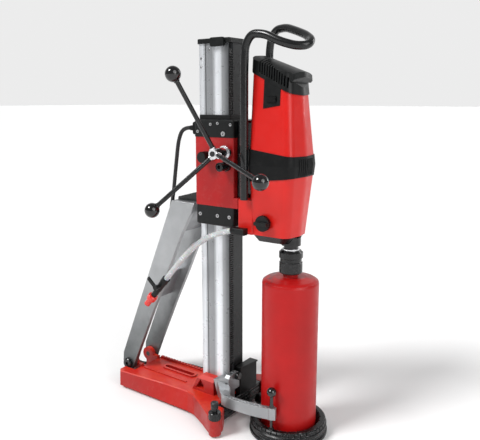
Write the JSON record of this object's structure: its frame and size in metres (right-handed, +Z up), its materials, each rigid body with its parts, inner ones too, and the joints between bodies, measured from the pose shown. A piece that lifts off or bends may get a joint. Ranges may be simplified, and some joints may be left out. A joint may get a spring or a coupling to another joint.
{
  "type": "core drill rig",
  "caption": "Stand-mounted core drilling machine with a rack-fed carriage, handwheel, braced rail, water collector and diamond core bit.",
  "frame": {"origin": "the drilling axis at floor level, the middle of the core bit's open mouth", "axes": "+Z up along the drilling axis, +X from the rail towards the core bit, -Y towards the operator and the handwheel"},
  "size_m": [0.7272, 0.553, 1.0935],
  "materials": {
    "red_casting": "satin",
    "red_housing": "satin",
    "red_tube": "satin",
    "aluminium_extrusion": "satin",
    "aluminium_cast": "satin",
    "black_plastic": "satin",
    "black_rubber": "matte",
    "black_metal": "gloss",
    "ball_plastic": "gloss",
    "steel": "satin",
    "chrome_steel": "polished",
    "copper_winding": "satin",
    "cord_rubber": "matte",
    "clear_hose": "satin",
    "red_plastic": "gloss",
    "diamond_segment": "rough"
  },
  "bodies": {
    "stand": {"base_plate": "red_casting", "front_crossbar": "black_metal", "rear_feet": "steel", "rail": "aluminium_extrusion", "gear_rack": "black_metal", "rail_end_cap": "black_plastic", "rail_foot_block": "black_plastic", "collector_holder": "aluminium_cast", "collector_ring": "black_rubber", "stand_screws": "steel", "brace_legs": "aluminium_cast", "brace_webs": "aluminium_cast", "brace_clamp": "black_metal", "brace_pivot_bolts": "black_metal", "cable_clips": "black_plastic", "power_cord": "cord_rubber", "power_cord_coil": "cord_rubber", "power_plug": "black_rubber"},
    "carriage": {"carriage_housing": "red_casting", "carriage_top_cap": "black_plastic", "carriage_bottom_cap": "black_plastic", "guide_shoes": "black_plastic", "machine_screws": "steel", "mount_plate": "black_metal", "cord_gland": "black_rubber", "gear_housing": "red_housing", "gearbox_cover": "black_metal", "motor_band": "black_rubber", "motor_housing": "red_housing", "vent_cap": "black_plastic", "control_panel": "black_plastic", "handle_tube": "black_metal", "motor_stator": "copper_winding", "shaft_bearings": "steel", "water_inlet": "black_plastic", "water_hose": "clear_hose", "valve_body": "black_plastic", "hose_coupling": "red_plastic"},
    "handwheel": {"handwheel_hub": "chrome_steel", "handwheel_arms": "black_metal", "handwheel_balls": "ball_plastic", "pinion_shaft": "steel", "transfer_gear": "steel"},
    "drive_stub": {"drive_stub": "black_metal"},
    "spindle": {"spindle": "black_metal", "spindle_gear": "steel", "spindle_washer": "chrome_steel", "chuck_body": "black_metal", "core_tube": "red_tube", "core_segments": "diamond_segment"},
    "chuck_sleeve": {"chuck_sleeve": "black_metal"},
    "armature": {"armature": "steel", "cooling_fan": "black_plastic"},
    "gear_selector": {"gear_selector": "black_plastic"},
    "carriage_lock": {"lock_knob": "black_plastic"},
    "power_switch": {"power_switch": "black_rubber"},
    "valve_lever": {"valve_lever": "black_plastic"},
    "level_screw_near": {"level_screw_near": "black_metal"},
    "level_screw_far": {"level_screw_far": "black_metal"},
    "collector_pin": {"collector_pin": "ball_plastic"}
  },
  "joints": [
    {"name": "carriage_slide", "type": "slide", "parent": "stand", "child": "carriage", "axis": [0, 0, 1], "range_m": [-0.18, 0.17]},
    {"name": "handwheel_turn", "type": "hinge", "parent": "carriage", "child": "handwheel", "pos_m": [-0.165, -0.06, 0.768], "axis": [0, 1, 0], "range_deg": [-750.3, 794.3]},
    {"name": "drive_stub_turn", "type": "hinge", "parent": "carriage", "child": "drive_stub", "pos_m": [-0.165, -0.06, 0.732], "axis": [0, 1, 0], "range_deg": [-794.3, 750.3]},
    {"name": "spindle_turn", "type": "hinge", "parent": "carriage", "child": "spindle", "pos_m": [0, 0, 0.55], "axis": [0, 0, 1], "continuous": true},
    {"name": "armature_turn", "type": "hinge", "parent": "carriage", "child": "armature", "pos_m": [-0.042, 0, 0.8], "axis": [0, 0, 1], "continuous": true},
    {"name": "chuck_sleeve_turn", "type": "hinge", "parent": "spindle", "child": "chuck_sleeve", "pos_m": [0, 0, 0.47], "axis": [0, 0, 1], "range_deg": [0, 45]},
    {"name": "gear_selector_turn", "type": "hinge", "parent": "carriage", "child": "gear_selector", "pos_m": [-0.046, -0.0579, 0.592], "axis": [0, 1, 0], "range_deg": [-60, 60]},
    {"name": "carriage_lock_turn", "type": "hinge", "parent": "carriage", "child": "carriage_lock", "pos_m": [-0.226, -0.068, 0.754], "axis": [0, 1, 0], "range_deg": [-90, 0]},
    {"name": "power_switch_press", "type": "slide", "parent": "carriage", "child": "power_switch", "axis": [0, 1, 0], "range_m": [0, 0.002], "stiffness_N_per_m": 400},
    {"name": "valve_lever_turn", "type": "hinge", "parent": "carriage", "child": "valve_lever", "pos_m": [-0.39069, -0.104, 0.36713], "axis": [0, 1, 0], "range_deg": [0, 90]},
    {"name": "level_screw_near_turn", "type": "hinge", "parent": "stand", "child": "level_screw_near", "pos_m": [-0.143, -0.15, 0.03], "axis": [0, 0, 1], "range_deg": [-180, 180]},
    {"name": "level_screw_far_turn", "type": "hinge", "parent": "stand", "child": "level_screw_far", "pos_m": [-0.143, 0.15, 0.03], "axis": [0, 0, 1], "range_deg": [-180, 180]},
    {"name": "collector_pin_lift", "type": "slide", "parent": "stand", "child": "collector_pin", "axis": [0, 0, 1], "range_m": [0, 0.018]}
  ],
  "couplings": [
    {"joint": "handwheel_turn", "follows": "carriage_slide", "rad_per_m": -76.923},
    {"joint": "drive_stub_turn", "follows": "carriage_slide", "rad_per_m": 76.923},
    {"joint": "armature_turn", "follows": "spindle_turn", "ratio": -2.5}
  ]
}
